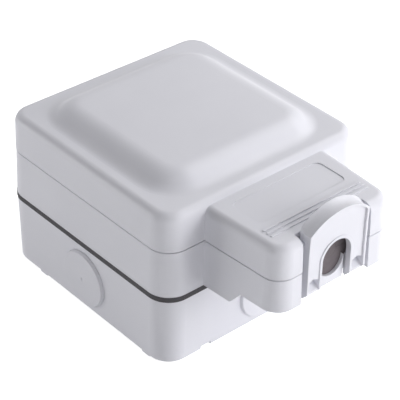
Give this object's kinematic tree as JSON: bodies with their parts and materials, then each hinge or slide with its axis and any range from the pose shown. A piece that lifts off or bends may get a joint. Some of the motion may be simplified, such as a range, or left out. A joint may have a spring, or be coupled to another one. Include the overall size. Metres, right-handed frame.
{
  "type": "outdoor weatherproof socket",
  "caption": "Square surface-mounted weatherproof power socket: back box, gasket and frame under a hinged pillow-topped lid, with a forward cable exit closed by an arched latch.",
  "frame": {"origin": "centre of the four wall-fixing holes, in the plane of the wall (the faces of the fixing pads)", "axes": "+Z out of the wall towards the lid, -Y towards the cable exit and latch, +Y towards the hinge, X along the hinge"},
  "size_m": [0.1194, 0.1722, 0.0892],
  "materials": {
    "housing_plastic": "satin",
    "insert_plastic": "gloss",
    "seal_rubber": "matte",
    "contact_brass": "plain",
    "screw_steel": "zinc plated",
    "spring_steel": "plain",
    "shutter_nylon": "matte"
  },
  "bodies": {
    "base": {"back_box": "housing_plastic", "box_gasket": "seal_rubber", "box_earth_terminal": "contact_brass", "box_earth_screw": "screw_steel", "front_frame": "housing_plastic", "screw_seals": "seal_rubber", "frame_screws": "screw_steel", "hinge_pin": "screw_steel", "lower_cable_seal": "seal_rubber", "socket_front": "insert_plastic", "socket_rear": "insert_plastic", "socket_screws": "screw_steel", "shutter_spring": "spring_steel", "live_contact": "contact_brass", "neutral_contact": "contact_brass", "earth_contact": "contact_brass", "live_terminal": "contact_brass", "neutral_terminal": "contact_brass", "earth_terminal": "contact_brass", "terminal_screws": "screw_steel"},
    "lid": {"lid": "housing_plastic", "lid_seal": "seal_rubber", "upper_cable_seal": "seal_rubber", "latch_pin": "screw_steel", "latch_spring": "spring_steel"},
    "latch": {"latch": "housing_plastic"},
    "rocker": {"rocker": "insert_plastic"},
    "switch_arm": {"switch_arm": "contact_brass"},
    "shutter": {"shutter": "shutter_nylon"}
  },
  "joints": [
    {"name": "lid_hinge", "type": "hinge", "parent": "base", "child": "lid", "pos_m": [0, 0.0631, 0.0623], "axis": [-1, 0, 0], "range_deg": [0, 110]},
    {"name": "latch_pivot", "type": "hinge", "parent": "lid", "child": "latch", "pos_m": [0, -0.1001, 0.0754], "axis": [-1, 0, 0], "range_deg": [0, 10], "stiffness_Nm_per_rad": 0.08, "springref_deg": -5.73, "deforming": ["latch_spring"]},
    {"name": "rocker_tip", "type": "hinge", "parent": "base", "child": "rocker", "pos_m": [0.038, 0.004, 0.0426], "axis": [1, 0, 0], "range_deg": [0, 12]},
    {"name": "switch_arm_tip", "type": "hinge", "parent": "base", "child": "switch_arm", "pos_m": [0.038, 0.004, 0.029], "axis": [1, 0, 0], "range_deg": [-8.1, 0.1]},
    {"name": "shutter_slide", "type": "slide", "parent": "base", "child": "shutter", "axis": [0, -1, 0], "range_m": [0, 0.0058], "stiffness_N_per_m": 150, "springref_m": -0.002, "deforming": ["shutter_spring"]}
  ],
  "couplings": [
    {"joint": "switch_arm_tip", "follows": "rocker_tip", "ratio": -0.66667}
  ]
}
